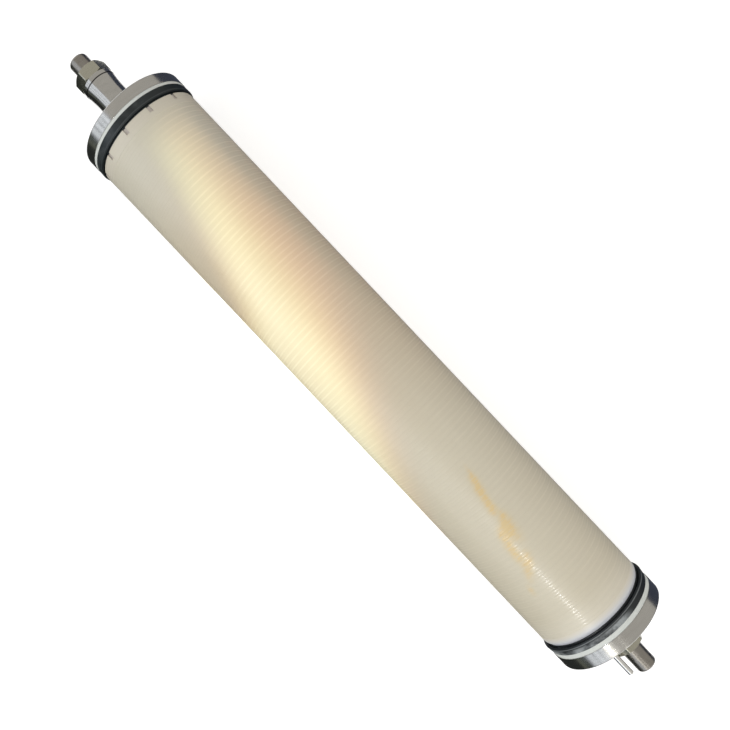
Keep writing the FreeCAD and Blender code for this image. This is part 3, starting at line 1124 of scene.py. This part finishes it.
@dataclass
class SealStack:
    """Backup ring, lip seal and gasket on the spigot of one flange."""

    layout: Layout
    finishes: Finishes
    end: End
    seal_width: float = 14.0
    heel_radius: float = 100.75
    hub_lip_radius: float = 101.3
    pin_lip_radius: float = 102.5
    lip_setback: float = 2.8
    tip_drop: float = 1.6
    groove_depth: float = 7.0
    lip_thickness: float = 5.0
    gasket_width: float = 3.0
    gasket_radius: float = 97.0
    backup_radius: float = 100.5
    backup_rounding: float = 0.45
    gasket_rounding: float = 0.4
    gasket_points: int = 192

    def lip_section(self) -> np.ndarray:
        """Cup section from the heel at zero to the lips, towards the discs.

        Returns:
            Corners as rows of (x, radius), round the section.
        """
        lip = self.hub_lip_radius if self.end is End.HUB else self.pin_lip_radius
        inner = self.layout.ring_bore_radius + self.lip_thickness
        tip = lip - self.tip_drop
        root = (inner + tip - self.lip_thickness) / 2
        width = self.seal_width
        return np.array([
            [0, self.layout.ring_bore_radius], [0, self.heel_radius],
            [width - self.lip_setback, lip], [width, tip],
            [width, tip - self.lip_thickness / 2], [width - self.groove_depth, root],
            [width, inner], [width, self.layout.ring_bore_radius]])

    def build(self) -> None:
        """Makes the three rings, each a softened section carried round the rod."""
        lay = self.layout
        hub = self.end is End.HUB
        name = self.end.label
        rubber = self.finishes.hub_rubber if hub else self.finishes.pin_rubber
        flange = lay.hub_flange_inner if hub else lay.pin_flange_inner
        heel = lay.hub_seal_heel if hub else lay.pin_seal_heel
        inward = -self.end.value
        bore = lay.ring_bore_radius
        seal = self.lip_section() * [inward, 1] + [heel, 0]
        setback = np.array([0.3, 0.9, 1.0, 0.5, 0.4, 0.8, 0.4, 0.3])
        add_piece(name + "_wiper_lip_seal",
                  carried_round(softened(seal, setback), full_turn(RING_POINTS)),
                  rubber, name + "_lip_seal")
        backup = np.array([[flange, bore], [flange, self.backup_radius],
                           [heel, self.backup_radius], [heel, bore]])
        add_piece(name + "_pale_backup_ring",
                  carried_round(softened(backup, self.backup_rounding),
                                full_turn(RING_POINTS)),
                  self.finishes.backup, name + "_backup_ring")
        start = heel + inward * self.seal_width
        stop = start + inward * self.gasket_width
        gasket = np.array([[start, bore], [start, self.gasket_radius],
                           [stop, self.gasket_radius], [stop, bore]])
        add_piece(name + "_flat_gasket",
                  carried_round(softened(gasket, self.gasket_rounding),
                                full_turn(self.gasket_points)),
                  rubber, name + "_gasket")


@dataclass
class Flange:
    """One stainless flange with its spigot, and a long neck or a short boss outside."""

    layout: Layout
    finishes: Finishes
    end: End
    chamfer: float = 1.5
    neck_end_radius: float = 30.25
    neck_radius: float = 28.25
    flare_length: float = 27.0
    groove_width: float = 5.0
    groove_radius: float = 21.0
    groove_setback: float = 6.0
    edge_rounding: float = 0.35
    rim_rounding: float = 0.6
    flare_rounding: float = 0.01
    flare_points: int = 14
    points_round: int = 256

    def bore(self, x_inner: float, x_outer: float, inward: int) -> list[list[float]]:
        """Corners of the bore, with the rod seal's groove.

        Args:
            x_inner: The bore's end at the discs.
            x_outer: Its end at the nut.
            inward: Sign of X towards the discs.

        Returns:
            Rows of (x, radius) from the outer end to the inner.
        """
        near = x_inner - inward * self.groove_setback
        far = near - inward * self.groove_width
        bore = self.layout.flange_bore_radius
        return [[x_outer, bore], [far, bore], [far, self.groove_radius],
                [near, self.groove_radius], [near, bore], [x_inner, bore]]

    def flare(self) -> np.ndarray:
        """Outline of the neck's flare, from the flange side to the nut side.

        The radius rises from the neck's as the square of the share of the way along.

        Returns:
            Rows of (x, radius).
        """
        share = np.linspace(0, 1, self.flare_points)
        x = self.layout.neck_end + self.flare_length * (1 - share)
        rise = (self.neck_end_radius - self.neck_radius) * share ** 2
        return np.stack([x, self.neck_radius + rise], axis=1)

    def build(self) -> None:
        """Makes the flange as one softened section carried round the rod."""
        lay = self.layout
        hub = self.end is End.HUB
        inward = -self.end.value
        outer = lay.hub_flange_outer if hub else lay.pin_flange_outer
        inner = lay.hub_flange_inner if hub else lay.pin_flange_inner
        spigot = lay.inlet_disc_start if hub else lay.outlet_disc_end
        top = lay.flange_radius
        rim = [[outer, top - self.chamfer], [outer + inward * self.chamfer, top],
               [inner, top], [inner, lay.spigot_radius], [spigot, lay.spigot_radius]]
        if hub:
            root, outline = self.neck_radius, self.flare()
        else:
            root, outline = lay.washer_radius, np.array([[lay.boss_end, lay.washer_radius]])
        hollow = self.bore(spigot, outline[-1, 0], inward)[::-1]
        section = np.concatenate([rim + hollow, outline[::-1], [[outer, root]]])
        setback = np.full(len(section), self.edge_rounding)
        setback[:2] = self.rim_rounding
        if hub:
            setback[len(rim) + len(hollow) + 1:-1] = self.flare_rounding
        add_piece(self.end.label + "_turned_flange",
                  carried_round(softened(section, setback, steps=3),
                                full_turn(self.points_round)),
                  self.finishes.turned, self.end.label + "_flange",
                  sharp_deg=50.0)


@dataclass
class Fastening:
    """Nut and washer at one end of the rod."""

    layout: Layout
    finishes: Finishes
    end: End
    turn_deg: float
    flat_radius: float = 27.5
    corner_radius_share: float = 0.985
    chamfer_deg: float = 30.0
    chamfer_least: float = 0.25
    face_inset: float = 1.2
    bore_chamfer_depth: float = 0.5
    bore_chamfer: float = 0.8
    side_guard: float = 0.3
    side_crown: float = 0.06
    corner_turn: float = 0.09
    flat_margin: float = 0.12
    points_per_part: int = 13
    washer_clearance: float = 0.4
    washer_rounding: float = 0.7
    washer_points: int = 160

    def hexagon(self, angles: np.ndarray) -> np.ndarray:
        """Radius of a hexagon with slightly rounded corners.

        With b the angle from the nearest flat's middle, the radius is the flat's radius
        divided by cos b, and no more than a share of the corner's radius.

        Args:
            angles: Angles in radians from a flat's middle.

        Returns:
            The radius at each angle.
        """
        sixth = math.pi / 3
        b = (angles + sixth / 2) % sixth - sixth / 2
        corner = self.flat_radius / math.cos(sixth / 2)
        return np.minimum(self.flat_radius / np.cos(b), corner * self.corner_radius_share)

    def build(self) -> None:
        """Makes the nut, whose chamfer is a cone cut round both faces, and the washer.

        The cone's height above the face is the least depth plus the tangent of its angle
        times the radius past the flat's. Each corner has its own close row of angles.
        """
        lay = self.layout
        hub = self.end is End.HUB
        name = self.end.label
        x0 = lay.hub_nut_outer if hub else lay.pin_washer_outer
        x1 = lay.hub_washer_outer if hub else lay.pin_nut_outer
        half_flat = math.pi / 6 - self.flat_margin
        near_corner = math.pi / 6 + np.linspace(
            -self.corner_turn, self.corner_turn, self.points_per_part)
        across = np.linspace(-half_flat, half_flat, self.points_per_part)
        sector = np.concatenate([across, near_corner])
        angles = (np.arange(6)[:, None] * math.pi / 3 + sector).ravel()
        outer = self.hexagon(angles)[:, None]
        slope = math.tan(math.radians(self.chamfer_deg))
        rise = (outer - self.flat_radius) * slope + self.chamfer_least
        flat = np.full_like(outer, self.flat_radius)
        bore = np.full_like(outer, lay.rod_radius)
        ones = np.ones_like(outer)
        guard, deep = self.side_guard, self.bore_chamfer_depth
        x = np.concatenate([
            ones * (x0 + deep), ones * x0, ones * x0, x0 + rise / 2, x0 + rise,
            x0 + rise + guard, x1 - rise - guard, x1 - rise, x1 - rise / 2, ones * x1,
            ones * x1, ones * (x1 - deep)], axis=1)
        mouth, face = bore + self.bore_chamfer, flat - self.face_inset
        cone, side = (flat + outer - self.chamfer_least) / 2, outer - self.side_crown
        radius = np.concatenate([bore, mouth, face, cone, side, outer,
                                 outer, side, cone, face, mouth, bore], axis=1)
        section = np.stack([x, radius], axis=-1)
        add_piece(name + "_hexagon_nut",
                  carried_round(section, angles - math.radians(self.turn_deg)),
                  self.finishes.nut, name + "_nut", sharp_deg=28.0)
        front = lay.neck_end if hub else lay.boss_end
        back = x1 if hub else x0
        hole = lay.rod_radius + self.washer_clearance
        washer = np.array([[front, hole], [front, lay.washer_radius],
                           [back, lay.washer_radius], [back, hole]])
        add_piece(name + "_plain_washer",
                  carried_round(softened(washer, self.washer_rounding),
                                full_turn(self.washer_points)),
                  self.finishes.turned, name + "_washer")


@dataclass
class RodAndPin:
    """The tie rod with its smooth rounded ends, and the polished locating pin."""

    layout: Layout
    finishes: Finishes
    end_radius: float = 17.7
    end_round: float = 4.5
    thread_past_nut: float = 2.0
    thread_pitch: float = 2.0
    thread_depth: float = 0.9
    pin_radius: float = 4.75
    pin_circle: float = 35.6
    pin_turn_deg: float = 54.0
    pin_tip: float = 683.5
    pin_seat: float = 592.5
    pin_chamfer: float = 1.0
    rod_points: int = 128
    pin_points: int = 64
    round_points: int = 10
    face_share: float = 0.94

    def rod_end(self, x_tip: float, x_thread: float, outward: int) -> np.ndarray:
        """Outline of one end, from the tip to the thread.

        The rounding is a quarter circle whose centre lies one rounding radius in from the
        tip and from the side.

        Args:
            x_tip: Where the rod ends.
            x_thread: Where the thread starts.
            outward: Sign of X out of the element.

        Returns:
            Rows of (x, radius).
        """
        t = np.linspace(0, math.pi / 2, self.round_points)
        arc = np.stack([x_tip - outward * self.end_round * (1 - np.cos(t)),
                        self.end_radius - self.end_round * (1 - np.sin(t))], axis=1)
        flat = (self.end_radius - self.end_round) * self.face_share
        face = np.array([[x_tip, 0], [x_tip, flat]])
        side = np.array([[x_thread + outward * 0.8, self.end_radius],
                         [x_thread + outward * 0.3, self.end_radius]])
        return np.concatenate([face, arc, side])

    def thread(self, x_start: float, x_end: float) -> np.ndarray:
        """Rings that stand for a thread: the radius is a triangle wave along X.

        Args:
            x_start: Where the thread starts.
            x_end: Where it ends.

        Returns:
            Rows of (x, radius).
        """
        turns = max(1, round((x_end - x_start) / self.thread_pitch))
        x = np.linspace(x_start, x_end, 2 * turns + 1)
        depth = np.where(np.arange(2 * turns + 1) % 2 == 0, self.thread_depth, 0.0)
        return np.stack([x, self.layout.rod_radius - depth], axis=1)

    def build(self) -> None:
        """Makes the rod and the pin as bars turned about their own axes."""
        lay = self.layout
        hub_thread = lay.hub_nut_outer - self.thread_past_nut
        pin_thread = lay.pin_nut_outer + self.thread_past_nut
        profile = np.concatenate([
            self.rod_end(lay.hub_rod_tip, hub_thread, -1),
            self.thread(hub_thread, hub_thread + 2 * self.thread_past_nut),
            [[hub_thread + 2 * self.thread_past_nut + 0.5, lay.rod_radius],
             [pin_thread - 2 * self.thread_past_nut - 0.5, lay.rod_radius]],
            self.thread(pin_thread - 2 * self.thread_past_nut, pin_thread),
            self.rod_end(lay.pin_rod_tip, pin_thread, 1)[::-1]])
        add_piece("smooth_ended_tie_rod", turned_bar(profile, self.rod_points),
                  self.finishes.rod, "tie_rod")
        c, r, tip = self.pin_chamfer, self.pin_radius, self.pin_tip
        outline = np.array([
            [self.pin_seat, 0], [self.pin_seat, r - 0.3], [self.pin_seat + 0.3, r],
            [self.pin_seat + 1.0, r], [tip - c - 0.5, r], [tip - c - 0.1, r],
            [tip - c + 0.1, r - 0.08], [tip - 0.1, r - c + 0.08], [tip, r - c - 0.1],
            [tip, r - c - 0.5], [tip, 0]])
        angle = math.radians(self.pin_turn_deg)
        offset = (0.0, -self.pin_circle * math.sin(angle), self.pin_circle * math.cos(angle))
        add_piece("polished_locating_pin", turned_bar(outline, self.pin_points).moved(offset),
                  self.finishes.polished, "locating_pin")


@dataclass
class ClosedInPieces:
    """The membrane cushions and rod rings, which keep their CAD meshes and get a finish."""

    nodes: dict[str, bpy.types.Object]
    finishes: Finishes

    def build(self) -> None:
        """Gives each node its material."""
        for name, material in (
                ("first_membrane_cushion", self.finishes.fleece),
                ("last_membrane_cushion", self.finishes.fleece),
                ("hub_end_rod_ring", self.finishes.hub_rubber),
                ("pin_end_rod_ring", self.finishes.pin_rubber)):
            mesh = self.nodes[name].data
            mesh.materials.clear()
            mesh.materials.append(material)
            LOG.info("%s: CAD mesh, %s", name, material.name)


# Studio


def add_prop(name: str, points: list, faces: list, material: bpy.types.Material
             ) -> bpy.types.Object:
    """Puts a mesh into the studio that isn't part of the element.

    Args:
        name: Its name.
        points: Its points, in metres.
        faces: Its faces.
        material: Its material.

    Returns:
        The new object.
    """
    mesh = bpy.data.meshes.new(name)
    mesh.from_pydata(points, [], faces)
    mesh.materials.append(material)
    prop = bpy.data.objects.new(name, mesh)
    bpy.context.scene.collection.objects.link(prop)
    return prop


@dataclass(frozen=True)
class Card:
    """A card seen only in gloss: an arc round the rod's axis, or a strip near the floor.

    An arc runs from one angle to the other, in degrees from +Z towards -Y, at its radius.
    A strip has no radius, and runs between two values of Y at its height. Cards give the
    metal something to reflect.
    """

    name: str
    first: float
    last: float
    colour: Colour
    level: float
    radius: float = 2.6
    height: float = 0.0
    x_first: float = -5.0
    x_last: float = 5.0
    points_across: int = 9

    def surface(self) -> Surface:
        """Grid of the card: (x, -r sin a, r cos a) for an arc, (x, y, height) for a strip.

        Returns:
            The card as one row of quads, in metres.
        """
        count = self.points_across
        across = np.linspace(self.first, self.last, count)
        if self.radius:
            angle = np.radians(across)
            y, z = -self.radius * np.sin(angle), self.radius * np.cos(angle)
        else:
            y, z = across, np.full(count, self.height)
        rows = [np.stack([np.full(count, x), y, z], axis=1) for x in (self.x_first, self.x_last)]
        j = np.arange(count - 1)
        quads = np.stack([j, j + 1, j + 1 + count, j + count], axis=1)
        return Surface(np.concatenate(rows), quads, np.zeros((0, 3), int))

    def build(self) -> None:
        """Hangs the card in the studio, glowing in its colour."""
        material = bpy.data.materials.new(self.name)
        graph = blank_graph(material)
        glow = graph.add("Emission", {"Color": self.colour, "Strength": self.level})
        graph.add("OutputMaterial", {"Surface": glow.outputs[0]})
        surface = self.surface()
        card = add_prop(self.name, surface.points.tolist(), surface.quads.tolist(), material)
        for ray in ("camera", "diffuse", "transmission", "volume_scatter", "shadow"):
            setattr(card, "visible_" + ray, False)


DAYLIGHT = (0.88, 0.93, 1.0)
CARD_FLOOR = -0.1016
REFLECTION_CARDS = (
    Card("ceiling_card", -92.0, 28.5, (1.0, 0.965, 0.90), 0.62),
    Card("window_frame_card", 28.0, 82.0, (0.86, 0.90, 1.0), 0.55, radius=2.7),
    Card("window_pane_card_1", 31.0, 38.5, DAYLIGHT, 1.6),
    Card("window_pane_card_2", 41.0, 48.0, DAYLIGHT, 1.4),
    Card("window_pane_card_3", 51.0, 60.0, DAYLIGHT, 1.5),
    Card("window_pane_card_4", 63.5, 75.0, DAYLIGHT, 1.3),
    Card("low_wall_card", 80.0, 95.0, (0.84, 0.95, 0.86), 0.12, radius=2.65),
    Card("near_floor_card", -0.104, -0.8, (0.84, 0.95, 0.88), 0.035, radius=0.0, height=CARD_FLOOR),
    Card("wide_floor_card", -0.8, -4.5, (0.90, 0.95, 0.78), 0.17, radius=0.0, height=CARD_FLOOR),
    Card("far_floor_card", 0.104, 4.5, (0.60, 0.68, 0.95), 0.11, radius=0.0, height=CARD_FLOOR),
    Card("warm_pane_card", 26.5, 38.0, (1.0, 0.98, 0.91), 2.2, radius=2.5,
         x_first=0.95, x_last=3.8),
    Card("rod_pane_card", 1.0, 8.0, (1.0, 0.97, 0.92), 2.6, radius=2.5,
         x_first=2.05, x_last=3.8),
)


@dataclass(frozen=True)
class SoftLamp:
    """A rectangular lamp, in metres and watts, that gives either plain light or gloss."""

    name: str
    place: Place
    target: Place
    length: float
    width: float
    watts: float
    colour: Colour = WHITE
    in_gloss: bool = False

    def build(self) -> None:
        """Hangs the lamp and turns it to its target, with its long side along X."""
        data = bpy.data.lights.new(self.name, "AREA")
        data.shape = "RECTANGLE"
        data.size, data.size_y = self.length, self.width
        data.energy = self.watts
        data.color = self.colour
        lamp = bpy.data.objects.new(self.name, data)
        bpy.context.scene.collection.objects.link(lamp)
        lamp.visible_glossy = self.in_gloss
        lamp.visible_diffuse = not self.in_gloss
        lamp.location = self.place
        x, y, z = np.array(self.place) - np.array(self.target)
        lamp.rotation_euler = (math.atan2(-y, math.hypot(x, z)), math.atan2(x, z), 0.0)


COOL = (0.94, 0.97, 1.0)
STRIP_LAMPS = (
    SoftLamp("window_high", (-0.1, -0.95, 1.75), (-0.1, 0.0, 0.0), 2.6, 0.30, 2.8, COOL),
    SoftLamp("window_middle", (-0.1, -1.45, 1.35), (-0.1, 0.0, 0.0), 2.6, 0.30, 5.0, COOL),
    SoftLamp("window_low", (0.1, -1.75, 0.75), (0.1, 0.0, 0.0), 2.6, 0.24, 6.0,
             (1.0, 0.97, 0.86)),
    SoftLamp("far_high", (0.55, 1.05, 1.65), (0.55, 0.0, 0.0), 1.3, 0.30, 6.6,
             (1.0, 0.93, 0.80)),
)
SMALL_LAMP = SoftLamp("small_lamp", (0.954, -0.645, 1.174), (0.47, 0.0, 0.09), 0.12, 0.12, 3.2,
                      in_gloss=True)


@dataclass(frozen=True)
class BeamEdge:
    """A soft edge of the warm band, which slants across the stack as a plane.

    A ray that meets the stack at h towards -Y and k up, s along X from the lamp, passes
    the edge at s - across h - up k. The band's mask changes while that goes from first to
    last. All of them are in metres.
    """

    across: float
    up: float
    first: float
    last: float

    def passed(self, graph: Graph, s: Value, h: Value, k: Value) -> bpy.types.NodeSocket:
        """Where a ray passes the edge.

        Args:
            graph: Graph of the lamp.
            s: The ray's place along X.
            h: Its place towards -Y.
            k: Its place up.

        Returns:
            The socket of the place, to be compared with first and last.
        """
        return graph.minus(s, graph.plus(graph.times(h, self.across), graph.times(k, self.up)))


@dataclass(frozen=True)
class BeamTone:
    """How the beam's green or blue changes over the band, next to its red.

    It goes straight from low to high while the hue goes from low_hue to high_hue. That is
    multiplied by the start edge's mask to a power, which rises from least_power to
    most_power while the turn goes from first_turn to last_turn, and by the end edge's
    mask to end_power.
    """

    low_hue: float
    high_hue: float
    low: float
    high: float
    least_power: float
    most_power: float
    end_power: float
    first_turn: float = -0.40
    last_turn: float = 0.90

    def light(self, graph: Graph, hue: Value, turn: Value, rise: Value,
              fall: Value) -> bpy.types.NodeSocket:
        """Works the tone out for one ray.

        Args:
            graph: Graph of the lamp.
            hue: The ray's hue, which rises with its turn and towards the hub end.
            turn: Angle at which it meets the stack.
            rise: Mask of the start edge.
            fall: Mask of the end edge.

        Returns:
            The light's socket.
        """
        power = graph.ramp(turn, self.first_turn, self.last_turn, self.least_power,
                           self.most_power)
        masks = graph.times(graph.math("POWER", rise, power),
                            graph.math("POWER", fall, self.end_power))
        return graph.times(
            graph.ramp(hue, self.low_hue, self.high_hue, self.low, self.high), masks)


@dataclass(frozen=True)
class WindowBeam:
    """Warm light that falls through a window in a slanting band across the stack."""

    distance: float = 3.0
    lean_deg: float = 38.0
    x: float = -0.13
    watts: float = 230.0
    cone_deg: float = 36.0
    cone_blend: float = 0.3
    lamp_radius: float = 0.03
    stack_radius: float = 0.0985
    sine_limit: float = 0.9999
    start_edge: BeamEdge = BeamEdge(3.39, 0.95, -0.449, -0.325)
    end_edge: BeamEdge = BeamEdge(1.91, -0.95, 0.111, 0.291)
    hub_fade: tuple[float, float] = (-0.388, -0.325)
    hub_lift: float = 1.34
    hub_lift_range: tuple[float, float] = (-0.25, -0.07)
    green: BeamTone = BeamTone(low_hue=-0.80, high_hue=0.26, low=0.15, high=1.10,
                               least_power=1.02, most_power=1.5, end_power=1.9)
    blue: BeamTone = BeamTone(low_hue=-0.52, high_hue=0.52, low=0.0, high=0.88,
                              least_power=1.2, most_power=2.8, end_power=3.6)
    hue_slope: float = 1.5
    hue_centre: float = -0.05

    def colour(self, graph: Graph) -> bpy.types.NodeSocket:
        """Colour of the band, by where its rays meet the stack.

        In the lamp's own view s and t are the offsets along X and across, in metres, at the
        distance of the rod. With R the stack's radius, a ray meets the rim at the angle
        a = lean - asin(t / R), at h = R sin a towards -Y and k = R cos a up. The band runs
        from its start edge to its end edge, which are planes in s, h and k. With p and f its
        soft masks at the two, red is p f, and green and blue are tones of p and f. Their hue
        is a less a slope times the distance of s from the hue's centre. All of the light
        grows by up to a third towards the hub end, and stops where the stack starts.

        Args:
            graph: Graph of the lamp.

        Returns:
            The colour's socket.
        """
        parts = graph.add("SeparateXYZ", {0: graph.add("TexCoord").outputs["Normal"]}).outputs
        depth = graph.times(parts[2], -1.0)
        s = graph.times(graph.over(parts[0], depth), self.distance)
        t = graph.times(graph.over(parts[1], depth), self.distance)
        sine = graph.math("MINIMUM", graph.over(t, self.stack_radius), self.sine_limit)
        sine = graph.math("MAXIMUM", sine, -self.sine_limit)
        a = graph.minus(math.radians(self.lean_deg), graph.math("ARCSINE", sine))
        h = graph.times(graph.math("SINE", a), self.stack_radius)
        k = graph.times(graph.math("COSINE", a), self.stack_radius)
        start, end = self.start_edge, self.end_edge
        rise = graph.fade(start.passed(graph, s, h, k), start.first, start.last)
        fall = graph.fade(end.passed(graph, s, h, k), end.first, end.last, 1.0, 0.0)
        lift = graph.times(graph.ramp(s, *self.hub_lift_range, self.hub_lift, 1.0),
                           graph.fade(s, *self.hub_fade))
        hue = graph.minus(a, graph.times(graph.minus(s, self.hue_centre), self.hue_slope))
        light = (graph.times(rise, fall), self.green.light(graph, hue, a, rise, fall),
                 self.blue.light(graph, hue, a, rise, fall))
        return graph.add("CombineXYZ", {
            i: graph.times(part, lift) for i, part in enumerate(light)}).outputs[0]

    def build(self) -> None:
        """Hangs the lamp, which leans towards -Y and shines at the rod."""
        lean = math.radians(self.lean_deg)
        data = bpy.data.lights.new("window_beam", "SPOT")
        data.energy = self.watts
        data.shadow_soft_size = self.lamp_radius
        data.spot_size = math.radians(self.cone_deg)
        data.spot_blend = self.cone_blend
        graph = blank_graph(data)
        glow = graph.add("Emission", {"Color": self.colour(graph)})
        graph.add("OutputLight", {"Surface": glow.outputs[0]})
        lamp = bpy.data.objects.new("window_beam", data)
        bpy.context.scene.collection.objects.link(lamp)
        lamp.visible_glossy = False
        lamp.location = (self.x, -self.distance * math.sin(lean),
                         self.distance * math.cos(lean))
        lamp.rotation_euler = (lean, 0.0, 0.0)


@dataclass(frozen=True)
class FarFlag:
    """A black card far behind the hub half that keeps light off its far side, in metres."""

    x_first: float = -2.5
    x_last: float = 0.0
    y: float = 1.5
    bottom: float = 0.12
    top: float = 0.80
    tone: float = 0.01

    def build(self) -> None:
        """Hangs the flag, which neither the camera nor the metal sees."""
        material = bpy.data.materials.new("black_cloth")
        graph = blank_graph(material)
        cloth = graph.add("BsdfDiffuse", {"Color": (self.tone,) * 3})
        graph.add("OutputMaterial", {"Surface": cloth.outputs[0]})
        points = [(self.x_first, self.y, self.bottom), (self.x_last, self.y, self.bottom),
                  (self.x_last, self.y, self.top), (self.x_first, self.y, self.top)]
        flag = add_prop("far_flag", points, [(0, 1, 2, 3)], material)
        flag.visible_camera = flag.visible_glossy = False


@dataclass(frozen=True)
class Studio:
    """Floor, world, lamps, cards and camera."""

    floor_z: float = -0.1026
    floor_size: float = 12.0
    floor_tone: float = 0.80
    floor_glow: float = 0.50
    world_level: float = 0.70
    camera_place: Place = (0.01824, 0.0, 1.22909)
    camera_turn_deg: Place = (-2.44005, 2.67456, 46.60334)
    lens: float = 35.775
    sensor_width: float = 36.0
    shift: tuple[float, float] = (0.04, 0.05)
    view_depth: float = 50.0

    def add_floor(self) -> None:
        """A pale plain floor that shows white where no shadow falls."""
        material = bpy.data.materials.new("pale_floor")
        graph = blank_graph(material)
        paint = graph.add("BsdfDiffuse", {"Color": (self.floor_tone,) * 3})
        glow = graph.add("Emission", {"Color": WHITE,
                                      "Strength": graph.times(graph.seen(), self.floor_glow)})
        both = graph.add("AddShader", {0: paint.outputs[0], 1: glow.outputs[0]})
        graph.add("OutputMaterial", {"Surface": both.outputs[0]})
        half, z = self.floor_size / 2, self.floor_z
        add_prop("floor", [(-half, -half, z), (half, -half, z), (half, half, z),
                           (-half, half, z)], [(0, 1, 2, 3)], material)

    def add_world(self) -> None:
        """Even light all round, seen as plain white by the camera and in metal."""
        world = bpy.data.worlds.new("studio")
        bpy.context.scene.world = world
        graph = blank_graph(world)
        sky = graph.add("Background", {
            "Color": WHITE, "Strength": graph.ramp(graph.seen(), 0.0, 1.0, self.world_level, 1.0)})
        graph.add("OutputWorld", {"Surface": sky.outputs[0]})

    def add_camera(self) -> None:
        """The camera over the element, at the photograph's viewing angle."""
        data = bpy.data.cameras.new("camera")
        data.lens = self.lens
        data.sensor_width = self.sensor_width
        data.shift_x, data.shift_y = self.shift
        data.clip_end = self.view_depth
        camera = bpy.data.objects.new("camera", data)
        bpy.context.scene.collection.objects.link(camera)
        camera.location = self.camera_place
        camera.rotation_euler = tuple(math.radians(turn) for turn in self.camera_turn_deg)
        bpy.context.scene.camera = camera

    def build(self) -> None:
        """Makes the whole studio."""
        bpy.context.scene.view_settings.view_transform = "Standard"
        self.add_floor()
        self.add_world()
        for light in (*STRIP_LAMPS, WindowBeam(), FarFlag(), SMALL_LAMP, *REFLECTION_CARDS):
            light.build()
        self.add_camera()


def corners(bounds: tuple) -> list[list[float]]:
    """Writes a box as plain numbers.

    Args:
        bounds: Its lowest and its highest corner.

    Returns:
        The same two corners as lists.
    """
    return [[float(value) for value in corner] for corner in bounds]


def main() -> None:
    """Builds the element on the CAD frame, and then the studio."""
    logging.basicConfig(level=logging.INFO, format="%(name)s: %(message)s")
    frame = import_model()
    layout, finishes = Layout(), Finishes()
    DiscStack(layout, finishes).build()
    InletDisc(layout, finishes).build()
    OutletDisc(layout, finishes).build()
    for end, turn_deg in ((End.HUB, 7.0), (End.PIN, 16.7)):
        SealStack(layout, finishes, end).build()
        Flange(layout, finishes, end).build()
        Fastening(layout, finishes, end, turn_deg).build()
    RodAndPin(layout, finishes).build()
    ClosedInPieces(frame["nodes"], finishes).build()
    Studio().build()


if __name__ == "__main__":
    main()
